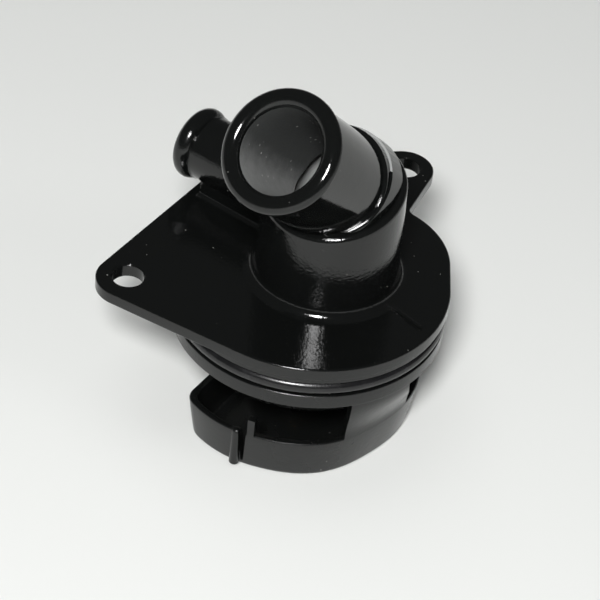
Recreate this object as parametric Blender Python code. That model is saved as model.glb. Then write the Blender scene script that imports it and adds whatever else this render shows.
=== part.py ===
"""Coolant thermostat housing: moulded cover with an angled outlet, cup-shaped lower body, valve insert."""
import math

import bmesh
import bpy
from mathutils import Matrix, Vector

# Every length below is in millimetres; meshes are scaled to metres when they are made.
MM = 0.001
# Points nearer than this, in metres, count as one after a Boolean.
WELD = 0.000002
# Faces within this angle, in radians, are merged into one plane.
FLAT_ANGLE = 0.004

# Clearance between pieces that touch on the real part
TOUCH_GAP = 0.3

# Lower body
BAND_RADIUS = 35.0
BAND_TOP = 29.2
BAND_HEIGHT = 4.0
BAND_WALL = 5.2
LEDGE_DEPTH = 5.7
LEDGE_SHEET = 2.2
LEDGE_WIDTH = 4.6
CUP_HEIGHT = 12.0
CUP_WALL = 1.9
CUP_FLOOR = 2.0
CUP_DRAFT = 1.3
PORT_RADIUS = 6.2
CHORD_ANGLE = 61.0
CHORD_REACH = 14.45
CORNER_PULL = 3.2
SKIRT_ANGLES = (-141, -128, -114, -103, -90, -80, -71, -60, -50, -42, 0, 90)
SKIRT_SINKS = (0.0, -0.2, 0.1, 0.6, 0.7, 1.0, 1.6, 2.8, 3.7, 4.0, 4.0, 4.0)
PANELS = ((-67.0, -38.0, 11.0), (20.0, 104.0, 0.0))
PANEL_WALL = 2.3
PANEL_ROOT = 2.5
POST = (-109.5, -106.5)
POST_TOP = 17.0
NOTCH = (-113.2, -109.8)
BEAD_ANGLE = -114.5
BEAD_RADIUS = 1.3
BAND_BOTTOM = BAND_TOP - BAND_HEIGHT
COUNTERBORE = BAND_RADIUS - BAND_WALL
LEDGE_TOP = BAND_TOP - LEDGE_DEPTH
LEDGE_BOTTOM = LEDGE_TOP - LEDGE_SHEET
LEDGE_BORE = COUNTERBORE - LEDGE_WIDTH

# Seal between cover and lower body
O_RING_SECTION = 1.85
O_RING_PROUD = 0.25
O_RING_PLAY = 0.15
GROOVE_PLAY = 0.5
O_RING_RADIUS = BAND_RADIUS + O_RING_PROUD - O_RING_SECTION

# Cover plate
PAD_STEP = 1.2
EAR_SHEET = 3.6
PLATE_MARGIN = 0.3
EDGE_ROUND = 0.5
BOLT_HOLE_RADIUS = 4.1
LEFT_BOLT = (-45.6, -7.9)
RIGHT_BOLT = (21.7, 49.8)
LEFT_EAR_WALL = 4.0
RIGHT_EAR_WALL = 3.6
BACK_CORNER = (-19.2, 37.8, 9.0)
SWELL = (10.9, 10.2, 10.8)
SWELL_ANGLE = 54.6
EAR_FILLET = 2.5
LIP_DEPTH = 1.5
LIP_WALL = 4.0
ROOF_SHEET = 3.7
PAD_RADIUS = BAND_RADIUS
PAD_UNDERSIDE = BAND_TOP + 2 * O_RING_SECTION + GROOVE_PLAY
EAR_UNDERSIDE = PAD_UNDERSIDE + PAD_STEP
PLATE_TOP = EAR_UNDERSIDE + EAR_SHEET
O_RING_Z = (PAD_UNDERSIDE + BAND_TOP) / 2
RING_RADIUS = O_RING_RADIUS - O_RING_SECTION - O_RING_PLAY
RING_BOTTOM = BAND_TOP + TOUCH_GAP
LIP_RADIUS = COUNTERBORE - TOUCH_GAP
LIP_BOTTOM = BAND_TOP - LIP_DEPTH
CHAMBER_RADIUS = LIP_RADIUS - LIP_WALL
CHAMBER_TOP = PLATE_TOP - ROOF_SHEET

# Neck and outlet tube
NECK_X = 3.4
NECK_Y = 3.0
NECK_RADIUS = 17.5
NECK_BORE = 14.0
NECK_FLARE = 1.0
NECK_FILLET = 3.2
NECK_HEIGHT = 27.2
NECK_TOP_RISE = 0.3
NECK_TOP_SLOPE = 0.244
NECK_TOP_ROUND = 1.4
TUBE_AZIMUTH = -126.3
TUBE_ELEVATION = 44.3
TUBE_LENGTH = 35.0
TUBE_RADIUS = 14.35
TUBE_BEAD_RISE = 1.2
TUBE_MOUTH_WALL = 3.65
TUBE_ROOT_WALL = 5.25
LIP_RISE = 2.3
COLLAR_STEP = 0.75
COLLAR_WALL = 1.9
COLLAR_TOP = 4.0
SHOULDER_REACH = 0.55
SHOULDER_STEP = 1.2
SHOULDER_RISE = 4.6
SHOULDER_SLOPE = 0.6
KNEE_Z = PLATE_TOP + NECK_HEIGHT
SHOULDER_RADIUS = NECK_RADIUS - SHOULDER_STEP
TUBE_BEAD_RADIUS = TUBE_RADIUS + TUBE_BEAD_RISE
TUBE_BORE_MOUTH = TUBE_RADIUS - TUBE_MOUTH_WALL
TUBE_BORE_ROOT = TUBE_RADIUS - TUBE_ROOT_WALL
LIP_CREST = (TUBE_BEAD_RADIUS + TUBE_BORE_MOUTH) / 2
LIP_FOOT = TUBE_LENGTH - LIP_RISE
COLLAR_RADIUS = TUBE_RADIUS + COLLAR_STEP

# Side nipple
NIPPLE_X = -32.7
NIPPLE_Y = 35.7
NIPPLE_HEIGHT = 10.8
NIPPLE_AZIMUTH = 147.0
NIPPLE_RADIUS = 8.6
NIPPLE_BEAD_RISE = 1.1
NIPPLE_BEAD_ROUND = 2.8
NIPPLE_BORE = 6.0
NIPPLE_RUN = 46.0
PEDESTAL_HALF_WIDTH = 6.0
RIB_START = (19.0, -6.9)
RIB_END = (28.4, -15.4)
RIB_HALF_WIDTH = 0.42
RIB_HEIGHT = 0.75
NIPPLE_Z = PLATE_TOP + NIPPLE_HEIGHT
NIPPLE_BEAD_RADIUS = NIPPLE_RADIUS + NIPPLE_BEAD_RISE

# Valve insert, on the lower body's axis
SEAL_PLAY = 0.1
SEAL_RIM = 2.5
FLANGE_RISE = 1.6
FLANGE_SHEET = 1.0
FLANGE_WEB = 11.0
SEAT_RIM = 1.6
VENT_REACH = 5.6
VENT_ANGLE = 106.0
VENT_HOLE = 1.4
BRIDGE_ANGLE = -29.0
BRIDGE_WIDTH = 7.0
BRIDGE_SHEET = 1.0
FRAME_ANGLE = 61.0
FRAME_WIDTH = 8.0
FRAME_SHEET = 1.0
FRAME_PLAY = 1.6
SEAT_LAP = 1.4
DISC_THICKNESS = 1.5
CAPSULE_RADIUS = 5.7
CAPSULE_LENGTH = 11.3
CAPSULE_RIM = 1.9
CAPSULE_STEP = 0.9
STEM_RADIUS = 1.8
STEM_LENGTH = 6.0
PIN_RADIUS = 1.5
WELL_DEPTH = 5.3
CLIP_SHEET = 0.7
CLIP_RADIUS = 3.2
RETAINER_SHEET = 0.7
RETAINER_WIDTH = 3.2
GUIDE_HEIGHT = 3.2
PORT_LAP = 1.3
BYPASS_SHEET = 0.8
SPRING_WIRE = 0.75
SPRING_PLAY = 4.7
SPRING_SEAT = 2.6
BYPASS_WIRE = 0.4
SEAL_OUTER = COUNTERBORE - TOUCH_GAP
SEAL_INNER = LEDGE_BORE + SEAL_PLAY
SEAL_BOTTOM = LEDGE_TOP + TOUCH_GAP
SEAL_TOP = LIP_BOTTOM - TOUCH_GAP
FLANGE_RADIUS = SEAL_OUTER - SEAL_RIM
FLANGE_BOTTOM = LEDGE_TOP + FLANGE_RISE
FLANGE_TOP = FLANGE_BOTTOM + FLANGE_SHEET
SEAT_HOLE = FLANGE_RADIUS - FLANGE_WEB
VENT_RADIUS = SEAT_HOLE + VENT_REACH
DISC_RADIUS = SEAT_HOLE + SEAT_LAP
DISC_TOP = FLANGE_BOTTOM - TOUCH_GAP
DISC_BOTTOM = DISC_TOP - DISC_THICKNESS
BRIDGE_TOP = CHAMBER_TOP - TOUCH_GAP
CAPSULE_BOTTOM = DISC_BOTTOM - CAPSULE_LENGTH
CAPSULE_NECK = CAPSULE_RADIUS - CAPSULE_STEP
FRAME_BASE = CAPSULE_BOTTOM + 2 * TOUCH_GAP
FRAME_LEG = DISC_RADIUS + FRAME_PLAY
WELL_BOTTOM = DISC_BOTTOM - WELL_DEPTH
STEM_BOTTOM = CAPSULE_BOTTOM - STEM_LENGTH
CLIP_BOTTOM = STEM_BOTTOM + 0.4
BYPASS_RADIUS = PORT_RADIUS + PORT_LAP
BYPASS_BOTTOM = CLIP_BOTTOM + CLIP_SHEET + TOUCH_GAP
BYPASS_TOP = BYPASS_BOTTOM + BYPASS_SHEET
SPRING_BOTTOM = FRAME_BASE + FRAME_SHEET + 0.25
SPRING_TOP = DISC_BOTTOM - 0.4
SPRING_LOW_RADIUS = CAPSULE_RADIUS + SPRING_PLAY
SPRING_HIGH_RADIUS = DISC_RADIUS - SPRING_SEAT


def clear_scene():
    for item in list(bpy.data.objects):
        bpy.data.objects.remove(item, do_unlink=True)


def finish(name, colour, metallic, roughness):
    made = bpy.data.materials.new(name)
    made.use_nodes = True
    shader = made.node_tree.nodes["Principled BSDF"]
    shader.inputs["Base Color"].default_value = (*colour, 1.0)
    shader.inputs["Metallic"].default_value = metallic
    shader.inputs["Roughness"].default_value = roughness
    return made


def solid(name, points, faces):
    """Makes a closed object from points in millimetres."""
    mesh = bpy.data.meshes.new(name)
    mesh.from_pydata([Vector(p) * MM for p in points], [], faces)
    shape = bmesh.new()
    shape.from_mesh(mesh)
    bmesh.ops.triangulate(shape, faces=shape.faces)
    bmesh.ops.recalc_face_normals(shape, faces=shape.faces)
    shape.to_mesh(mesh)
    shape.free()
    made = bpy.data.objects.new(name, mesh)
    bpy.context.scene.collection.objects.link(made)
    return made


def stack(name, rings):
    """Joins closed rings that have the same number of points, and caps both ends."""
    count = len(rings[0])
    points = [p for ring in rings for p in ring]
    faces = [tuple(reversed(range(count)))]
    for level in range(len(rings) - 1):
        low = level * count
        for i in range(count):
            j = (i + 1) % count
            faces.append((low + i, low + j, low + count + j, low + count + i))
    faces.append(tuple(range(len(points) - count, len(points))))
    return solid(name, points, faces)


def loop(name, rings):
    """Joins closed rings into a closed band, the last ring to the first."""
    count = len(rings[0])
    total = len(rings)
    points = [p for ring in rings for p in ring]
    faces = []
    for level in range(total):
        low = level * count
        high = (level + 1) % total * count
        for i in range(count):
            j = (i + 1) % count
            faces.append((low + i, low + j, high + j, high + i))
    return solid(name, points, faces)


def circle(x, y, z, radius, count):
    turn = 2 * math.pi / count
    return [(x + radius * math.cos(k * turn), y + radius * math.sin(k * turn), z) for k in range(count)]


def lathe(name, profile, count, x=0.0, y=0.0):
    """Turns an open profile of (radius, height) pairs about a vertical axis; its ends are capped."""
    return stack(name, [circle(x, y, z, radius, count) for radius, z in profile])


def ring(name, profile, count):
    """Turns a closed profile of (radius, height) pairs about the Z axis."""
    return loop(name, [circle(0, 0, z, radius, count) for radius, z in profile])


def cylinder(name, x, y, radius, low, high, count=48):
    return lathe(name, [(radius, low), (radius, high)], count, x, y)


def bake(item):
    """Replaces the mesh by its evaluated one, without doubled points, and clears the modifiers."""
    bpy.context.view_layer.update()
    graph = bpy.context.evaluated_depsgraph_get()
    item.data = bpy.data.meshes.new_from_object(item.evaluated_get(graph))
    item.modifiers.clear()
    shape = bmesh.new()
    shape.from_mesh(item.data)
    bmesh.ops.remove_doubles(shape, verts=shape.verts, dist=WELD)
    bmesh.ops.dissolve_degenerate(shape, edges=shape.edges, dist=WELD)
    bmesh.ops.triangulate(shape, faces=[face for face in shape.faces if len(face.verts) > 4])
    shape.to_mesh(item.data)
    shape.free()


def combine(item, other, operation):
    """Applies an exact Boolean with another object, which is then removed."""
    step = item.modifiers.new("combine", "BOOLEAN")
    step.operation = operation
    step.solver = "EXACT"
    step.object = other
    bake(item)
    bpy.data.objects.remove(other, do_unlink=True)


def join(item, *others):
    for other in others:
        combine(item, other, "UNION")


def cut(item, *others):
    for other in others:
        combine(item, other, "DIFFERENCE")


def thin(item):
    """Merges faces that lie in one plane, which leaves fewer and better triangles."""
    shape = bmesh.new()
    shape.from_mesh(item.data)
    bmesh.ops.dissolve_limit(shape, angle_limit=FLAT_ANGLE, verts=shape.verts, edges=shape.edges)
    bmesh.ops.triangulate(shape, faces=shape.faces)
    loose = [edge for edge in shape.edges if edge.is_wire]
    bmesh.ops.delete(shape, geom=loose, context="EDGES")
    shape.to_mesh(item.data)
    shape.free()


def turn(item, matrix):
    """Moves the mesh itself by a matrix in millimetres."""
    item.data.transform(Matrix.Scale(MM, 4) @ matrix @ Matrix.Scale(1 / MM, 4))


def complete(item, name, material, pose=None, sharp=32.0):
    """Names the object, shades it and puts its origin at the pose, given in millimetres."""
    pose = pose or Matrix.Identity(4)
    item.name = name
    item.data.name = name
    thin(item)
    turn(item, pose.inverted())
    item.matrix_world = Matrix.Translation(pose.translation * MM) @ pose.to_3x3().to_4x4()
    item.data.materials.clear()
    item.data.materials.append(material)
    for face in item.data.polygons:
        face.use_smooth = True
        face.material_index = 0
    item.data.set_sharp_from_angle(angle=math.radians(sharp))
    return item


def at(x, y, z):
    return Matrix.Translation((x, y, z))


def arc(x, y, radius, start, end, count):
    out = []
    for k in range(count):
        angle = math.radians(start + (end - start) * k / (count - 1))
        out.append((x + radius * math.cos(angle), y + radius * math.sin(angle)))
    return out


def inset(outline, depth):
    """Moves every point of a counter-clockwise outline inwards along its normal."""
    out = []
    for k, (x, y) in enumerate(outline):
        before = outline[k - 1]
        after = outline[(k + 1) % len(outline)]
        run = Vector((after[0] - before[0], after[1] - before[1])).normalized()
        out.append((x - run.y * depth, y + run.x * depth))
    return out


def lift(outline, z):
    return [(x, y, z) for x, y in outline]


def tangent_angle(first, second):
    """Angle of the normal of the outer tangent line from one circle to the next, counter-clockwise."""
    gap = Vector((second[0] - first[0], second[1] - first[1]))
    lean = math.acos((first[2] - second[2]) / gap.length)
    return (math.degrees(math.atan2(gap.y, gap.x) - lean) + 180) % 360 - 180


def plate_outline():
    disc = (0.2, 0.0, PAD_RADIUS + PLATE_MARGIN)
    swell = (SWELL[0], SWELL[1], PAD_RADIUS - SWELL[2])
    right_ear = (RIGHT_BOLT[0], RIGHT_BOLT[1] - 0.4, BOLT_HOLE_RADIUS + RIGHT_EAR_WALL)
    left_ear = (LEFT_BOLT[0] - 0.1, LEFT_BOLT[1] - 0.1, BOLT_HOLE_RADIUS + LEFT_EAR_WALL)
    reach = polar(swell[2] + EAR_FILLET, SWELL_ANGLE)
    fillet = (swell[0] + reach[0], swell[1] + reach[1], EAR_FILLET)
    gap = Vector((right_ear[0] - fillet[0], right_ear[1] - fillet[1]))
    lean = math.acos(-(fillet[2] + right_ear[2]) / gap.length)
    waist = math.degrees(math.atan2(gap.y, gap.x) - lean)
    start = tangent_angle(left_ear, disc)
    side = tangent_angle(disc, swell)
    back = tangent_angle(right_ear, BACK_CORNER)
    left = tangent_angle(BACK_CORNER, left_ear)
    points = arc(*disc, start, side, 44)
    points += arc(*swell, side, SWELL_ANGLE, 16)
    points += arc(*fillet, SWELL_ANGLE + 180, waist + 180, 7)[1:]
    points += arc(*right_ear, waist, back, 20)
    points += arc(*BACK_CORNER, back, left, 8)
    points += arc(*left_ear, left, start + 360, 16)
    return points


def rounded_plate(outline, low, high):
    steps = (0.0, 45.0, 90.0)
    rings = []
    for angle in steps:
        bend = math.radians(angle)
        depth = EDGE_ROUND * (1 - math.sin(bend))
        rings.append(lift(inset(outline, depth), low + EDGE_ROUND * (1 - math.cos(bend))))
    for angle in reversed(steps):
        bend = math.radians(angle)
        depth = EDGE_ROUND * (1 - math.sin(bend))
        rings.append(lift(inset(outline, depth), high - EDGE_ROUND * (1 - math.cos(bend))))
    return stack("plate", rings)


def tube_pose():
    """Frame of the outlet tube: origin at the knee, +Z along the tube."""
    azimuth = math.radians(TUBE_AZIMUTH)
    lean = math.radians(90 - TUBE_ELEVATION)
    return at(NECK_X, NECK_Y, KNEE_Z) @ Matrix.Rotation(azimuth, 4, "Z") @ Matrix.Rotation(lean, 4, "Y")


def leaning_ring(radius, rise, slope, count=60):
    """A ring about the neck axis whose height falls towards the tube's azimuth."""
    azimuth = math.radians(TUBE_AZIMUTH)
    out = []
    for k in range(count):
        angle = 2 * math.pi * k / count
        x = radius * math.cos(angle)
        y = radius * math.sin(angle)
        along = x * math.cos(azimuth) + y * math.sin(azimuth)
        out.append((NECK_X + x, NECK_Y + y, KNEE_Z + rise - slope * along))
    return out


def neck_shape():
    foot = NECK_RADIUS + NECK_FLARE
    rings = [circle(NECK_X, NECK_Y, PLATE_TOP - 2.0, foot + NECK_FILLET, 60)]
    for step in range(5):
        bend = math.radians(90 * step / 4)
        radius = foot + NECK_FILLET * (1 - math.sin(bend))
        height = PLATE_TOP - 0.05 + NECK_FILLET * (1 - math.cos(bend))
        rings.append(circle(NECK_X, NECK_Y, height, radius, 60))
    for step in range(5):
        bend = math.radians(90 * step / 4)
        radius = NECK_RADIUS + 0.15 - NECK_TOP_ROUND * (1 - math.cos(bend))
        drop = NECK_TOP_ROUND * (1 - math.sin(bend))
        rings.append(leaning_ring(radius, NECK_TOP_RISE - drop, NECK_TOP_SLOPE))
    return stack("neck", rings)


def nipple_direction():
    angle = math.radians(NIPPLE_AZIMUTH)
    return Vector((math.cos(angle), math.sin(angle), 0.0))


def nipple_pose():
    """Frame of the nipple: origin at the bead, +Z out of its mouth."""
    azimuth = math.radians(NIPPLE_AZIMUTH)
    turned = Matrix.Rotation(azimuth, 4, "Z") @ Matrix.Rotation(math.pi / 2, 4, "Y")
    return at(NIPPLE_X, NIPPLE_Y, NIPPLE_Z) @ turned


def nipple_shape():
    profile = [(NIPPLE_RADIUS, -NIPPLE_RUN), (NIPPLE_RADIUS, -3.6), (NIPPLE_RADIUS + 0.25, -3.1)]
    for step in range(8):
        bend = math.radians(-62 + 152 * step / 7)
        radius = NIPPLE_BEAD_RADIUS - NIPPLE_BEAD_ROUND * (1 - math.cos(bend))
        profile.append((radius, NIPPLE_BEAD_ROUND * math.sin(bend)))
    made = lathe("nipple", profile, 40)
    turn(made, nipple_pose())
    return made


def pedestal_shape():
    """Web that carries the side duct on the plate, flared at its foot."""
    way = nipple_direction()
    side = Vector((-way.y, way.x, 0.0))
    base = Vector((NIPPLE_X, NIPPLE_Y, 0.0))
    rings = []
    for height, flare in ((PLATE_TOP - 1.0, 1.3), (PLATE_TOP, 1.3), (PLATE_TOP + 0.35, 0.6),
                          (PLATE_TOP + 1.2, 0.0), (NIPPLE_Z - 3.0, 0.0)):
        near = -5.5 + flare * 0.5
        half = PEDESTAL_HALF_WIDTH + flare
        ends = ((near, half), (-NIPPLE_RUN, half), (-NIPPLE_RUN, -half), (near, -half))
        rings.append([tuple(base + way * s + side * w + Vector((0, 0, height))) for s, w in ends])
    return stack("pedestal", rings)


def rib_shape():
    """Thin raised line on the plate beside the neck."""
    start = Vector((*RIB_START, 0.0))
    end = Vector((*RIB_END, 0.0))
    way = (end - start).normalized()
    side = Vector((-way.y, way.x, 0.0)) * RIB_HALF_WIDTH
    rings = []
    for rise, share in ((-1.0, 1.0), (RIB_HEIGHT / 2, 1.0), (RIB_HEIGHT, 0.5)):
        corners = (start - side * share, end - side * share, end + side * share, start + side * share)
        rings.append([tuple(p + Vector((0, 0, PLATE_TOP + rise))) for p in corners])
    return stack("rib", rings)


def build_cover(material):
    cover = rounded_plate(plate_outline(), EAR_UNDERSIDE, PLATE_TOP)
    pad = [(PAD_RADIUS - 0.4, PAD_UNDERSIDE), (PAD_RADIUS - 0.12, PAD_UNDERSIDE + 0.12),
           (PAD_RADIUS, PAD_UNDERSIDE + 0.4), (PAD_RADIUS, EAR_UNDERSIDE + 1.5)]
    core = [(LIP_RADIUS - 0.4, LIP_BOTTOM), (LIP_RADIUS, LIP_BOTTOM + 0.4), (LIP_RADIUS, RING_BOTTOM),
            (RING_RADIUS, RING_BOTTOM), (RING_RADIUS, EAR_UNDERSIDE + 0.9)]
    join(cover, lathe("pad", pad, 112), lathe("core", core, 80))
    join(cover, neck_shape(), pedestal_shape(), nipple_shape(), rib_shape())
    chamber = [(CHAMBER_RADIUS + 0.5, LIP_BOTTOM - 1.0), (CHAMBER_RADIUS + 0.5, LIP_BOTTOM),
               (CHAMBER_RADIUS, LIP_BOTTOM + 0.5), (CHAMBER_RADIUS, CHAMBER_TOP)]
    cut(cover, lathe("chamber", chamber, 72))
    bore = cylinder("bore", NECK_X, NECK_Y, NECK_BORE, CHAMBER_TOP - 2.0, KNEE_Z + 12.0, 56)
    flow = [(NIPPLE_BORE, -NIPPLE_RUN - 2.0), (NIPPLE_BORE, 2.0), (NIPPLE_BORE + 0.6, 2.6),
            (NIPPLE_BORE + 0.6, 5.0)]
    outflow = lathe("outflow", flow, 32)
    turn(outflow, nipple_pose())
    cut(cover, bore, outflow)
    for x, y in (LEFT_BOLT, RIGHT_BOLT):
        cut(cover, cylinder("hole", x, y, BOLT_HOLE_RADIUS, EAR_UNDERSIDE - 2.0, PLATE_TOP + 2.0, 40))
    return complete(cover, "cover", material, at(0, 0, PLATE_TOP))


def tube_outer():
    profile = [(TUBE_RADIUS - 0.3, -2.0), (TUBE_RADIUS - 0.3, 0.0), (TUBE_RADIUS, TUBE_LENGTH / 2)]
    profile += [(TUBE_RADIUS, LIP_FOOT - LIP_RISE),
                (TUBE_RADIUS + 0.3 * TUBE_BEAD_RISE, LIP_FOOT - LIP_RISE / 2)]
    for step in range(6):
        bend = math.radians(18 * step)
        profile.append((LIP_CREST + (TUBE_BEAD_RADIUS - LIP_CREST) * math.cos(bend),
                        LIP_FOOT + LIP_RISE * math.sin(bend)))
    made = lathe("tube", profile, 64)
    turn(made, tube_pose())
    return made


def shoulder_shape():
    """Foot of the tube: an upright round whose top leans, kept inside the collar's own cylinder."""
    low = NECK_TOP_RISE + TOUCH_GAP
    foot = stack("foot", [leaning_ring(SHOULDER_RADIUS - 0.25, low - 3.0, NECK_TOP_SLOPE),
                          leaning_ring(SHOULDER_RADIUS, SHOULDER_RISE - 0.7, SHOULDER_SLOPE),
                          leaning_ring(SHOULDER_RADIUS - 0.2, SHOULDER_RISE - 0.2, SHOULDER_SLOPE),
                          leaning_ring(SHOULDER_RADIUS - 0.7, SHOULDER_RISE, SHOULDER_SLOPE)])
    reach = COLLAR_RADIUS + SHOULDER_REACH
    limit = lathe("limit", [(reach, -34.0), (reach, 34.0)], 64)
    turn(limit, tube_pose())
    combine(foot, limit, "INTERSECT")
    return foot


def collar_shape():
    profile = [(COLLAR_RADIUS - 0.4, -0.3), (COLLAR_RADIUS, 0.1), (COLLAR_RADIUS, COLLAR_TOP - COLLAR_STEP),
               (COLLAR_RADIUS - 0.3 * COLLAR_STEP, COLLAR_TOP - 0.3 * COLLAR_STEP),
               (TUBE_RADIUS, COLLAR_TOP)]
    made = lathe("collar", profile, 64)
    turn(made, tube_pose())
    return made


def build_outlet_tube(material):
    tube = tube_outer()
    join(tube, collar_shape(), shoulder_shape())
    low = NECK_TOP_RISE + TOUCH_GAP
    below = stack("below", [circle(NECK_X, NECK_Y, KNEE_Z - 60.0, 40.0, 60),
                            leaning_ring(40.0, low, NECK_TOP_SLOPE)])
    cut(tube, below)
    line = [(TUBE_BORE_ROOT, 0.6), (TUBE_BORE_ROOT, 1.2)]
    for step in range(5):
        bend = math.radians(22.5 * step)
        line.append((LIP_CREST - (LIP_CREST - TUBE_BORE_MOUTH) * math.cos(bend),
                     LIP_FOOT + (LIP_RISE + 0.02) * math.sin(bend)))
    bore = lathe("bore", line + [(LIP_CREST, TUBE_LENGTH + 3.0)], 56)
    turn(bore, tube_pose())
    hollow = cylinder("hollow", NECK_X, NECK_Y, NECK_BORE, KNEE_Z - 30.0, KNEE_Z + 30.0, 64)
    limit = lathe("limit", [(COLLAR_RADIUS - COLLAR_WALL, -34.0), (COLLAR_RADIUS - COLLAR_WALL, 1.0)], 64)
    turn(limit, tube_pose())
    combine(hollow, limit, "INTERSECT")
    cut(tube, bore, hollow)
    return complete(tube, "outlet_tube", material, tube_pose())


def build_o_ring(material):
    section = []
    for k in range(10):
        angle = 2 * math.pi * k / 10
        section.append((O_RING_RADIUS + O_RING_SECTION * math.cos(angle), O_RING_SECTION * math.sin(angle)))
    made = ring("o_ring", section, 72)
    turn(made, at(0, 0, O_RING_Z))
    return complete(made, "o_ring", material, at(0, 0, O_RING_Z), 60.0)


def blend(value, keys, values):
    """Smooth reading of a short table."""
    if value <= keys[0]:
        return values[0]
    for k in range(len(keys) - 1):
        if value <= keys[k + 1]:
            share = (value - keys[k]) / (keys[k + 1] - keys[k])
            return values[k] + (values[k + 1] - values[k]) * share
    return values[-1]


def skirt_radius(angle):
    return BAND_RADIUS - blend(angle, SKIRT_ANGLES, SKIRT_SINKS)


def skirt_outline(depth):
    """Plan of the cup, moved in by a depth: the front arc, then the straight wall back to the tip."""
    way = Vector((math.cos(math.radians(CHORD_ANGLE)), math.sin(math.radians(CHORD_ANGLE))))
    foot = Vector((-way.y, way.x)) * (CHORD_REACH - depth)
    tip = foot - way * math.sqrt((skirt_radius(-141) - depth) ** 2 - foot.length_squared)
    top = foot + way * math.sqrt((skirt_radius(90) - depth) ** 2 - foot.length_squared)
    start = math.degrees(math.atan2(tip.y, tip.x)) + math.degrees(CORNER_PULL / tip.length)
    end = math.degrees(math.atan2(top.y, top.x)) - math.degrees(CORNER_PULL / top.length)
    points = []
    for k in range(66):
        angle = start + (end - start) * k / 65
        points.append(Vector(polar(skirt_radius(angle) - depth, angle)))
    first = points[0]
    upper = top - way * CORNER_PULL
    lower = tip + way * CORNER_PULL
    points += curve(points[-1], top, upper, 7)[1:]
    points += [upper.lerp(lower, k / 4) for k in range(1, 5)]
    points += curve(lower, tip, first, 9)[1:-1]
    return points


def curve(start, middle, end, count):
    out = []
    for k in range(count):
        s = k / (count - 1)
        out.append(start * (1 - s) ** 2 + middle * 2 * s * (1 - s) + end * s ** 2)
    return out


def cup_shape():
    rings = []
    for depth, height in ((CUP_DRAFT + 1.2, 0.0), (CUP_DRAFT + 0.35, 0.35), (CUP_DRAFT, 1.2), (0.6, 6.5),
                          (0.0, CUP_HEIGHT - 0.4), (0.15, CUP_HEIGHT - 0.1), (0.5, CUP_HEIGHT),
                          (CUP_WALL - 0.5, CUP_HEIGHT), (CUP_WALL - 0.15, CUP_HEIGHT - 0.1),
                          (CUP_WALL, CUP_HEIGHT - 0.4), (CUP_WALL + CUP_DRAFT, CUP_FLOOR + 1.0),
                          (CUP_WALL + CUP_DRAFT + 1.0, CUP_FLOOR)):
        rings.append(lift(skirt_outline(depth), height))
    return stack("cup", rings)


def panel_shape(start, end, slant, low, high, wall):
    """Upright wall over part of the circle, swelling outwards to the band. A slant leans its end on, lower down."""
    count = max(4, round((end - start) / 3.5))
    heights = [low + (high - low) * k / 8 for k in range(9)]
    section = []
    for height in heights:
        share = min(1.0, max(0.0, (height - CUP_HEIGHT) / (BAND_BOTTOM - CUP_HEIGHT)))
        section.append((height, share * share * (3 - 2 * share), 0.0))
    section += [(height, share, wall) for height, share, _ in reversed(section)]
    rings = []
    for k in range(count + 1):
        line = []
        for height, share, depth in section:
            angle = start + (end + slant * (1 - share) - start) * k / count
            way = (math.cos(math.radians(angle)), math.sin(math.radians(angle)))
            inward = CUP_DRAFT * max(0.0, 1 - height / CUP_HEIGHT)
            radius = skirt_radius(angle) * (1 - share) + (BAND_RADIUS - 0.2) * share - inward - depth
            line.append((radius * way[0], radius * way[1], height))
        rings.append(line)
    return stack("panel", rings)


def notch_shape():
    """Wedge-shaped slot in the sill, wide at the top."""
    middle = (NOTCH[0] + NOTCH[1]) / 2
    half = (NOTCH[1] - NOTCH[0]) / 2
    rings = []
    inner = skirt_radius(middle) - CUP_DRAFT - CUP_WALL - 1.6
    outer = skirt_radius(middle) + 3.0
    for height, share in ((CUP_FLOOR - 0.4, 0.3), (CUP_HEIGHT + 2.0, 1.1)):
        line = []
        for radius, side in ((inner, -1), (outer, -1), (outer, 1), (inner, 1)):
            angle = math.radians(middle + half * share * side)
            line.append((radius * math.cos(angle), radius * math.sin(angle), height))
        rings.append(line)
    return stack("notch", rings)


def build_lower_body(material):
    band = [(BAND_RADIUS - 0.3, BAND_TOP), (COUNTERBORE + 0.3, BAND_TOP), (COUNTERBORE, BAND_TOP - 0.3),
            (COUNTERBORE, LEDGE_TOP), (LEDGE_BORE, LEDGE_TOP), (LEDGE_BORE, LEDGE_BOTTOM),
            (BAND_RADIUS - 3.5, LEDGE_BOTTOM), (BAND_RADIUS - 1.5, BAND_BOTTOM - 0.3),
            (BAND_RADIUS - 0.3, BAND_BOTTOM), (BAND_RADIUS, BAND_BOTTOM + 0.3), (BAND_RADIUS, BAND_TOP - 0.3)]
    body = ring("band", band, 112)
    join(body, cup_shape())
    for start, end, slant in PANELS:
        join(body, panel_shape(start, end, slant, CUP_HEIGHT - PANEL_ROOT, BAND_BOTTOM + 1.2, PANEL_WALL))
    join(body, panel_shape(POST[0], POST[1], 0.0, CUP_HEIGHT - PANEL_ROOT, POST_TOP, CUP_WALL))
    angle = math.radians(BEAD_ANGLE)
    reach = skirt_radius(BEAD_ANGLE) - 0.7
    line = [(BEAD_RADIUS, 0.6), (BEAD_RADIUS, CUP_HEIGHT - 0.2), (BEAD_RADIUS - 0.5, CUP_HEIGHT + 0.4)]
    bead = lathe("bead", line, 20, reach * math.cos(angle), reach * math.sin(angle))
    join(body, bead)
    cut(body, notch_shape(), cylinder("port", 0, 0, PORT_RADIUS, -2.0, CUP_FLOOR + 3.0, 48))
    return complete(body, "lower_body", material)


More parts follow.
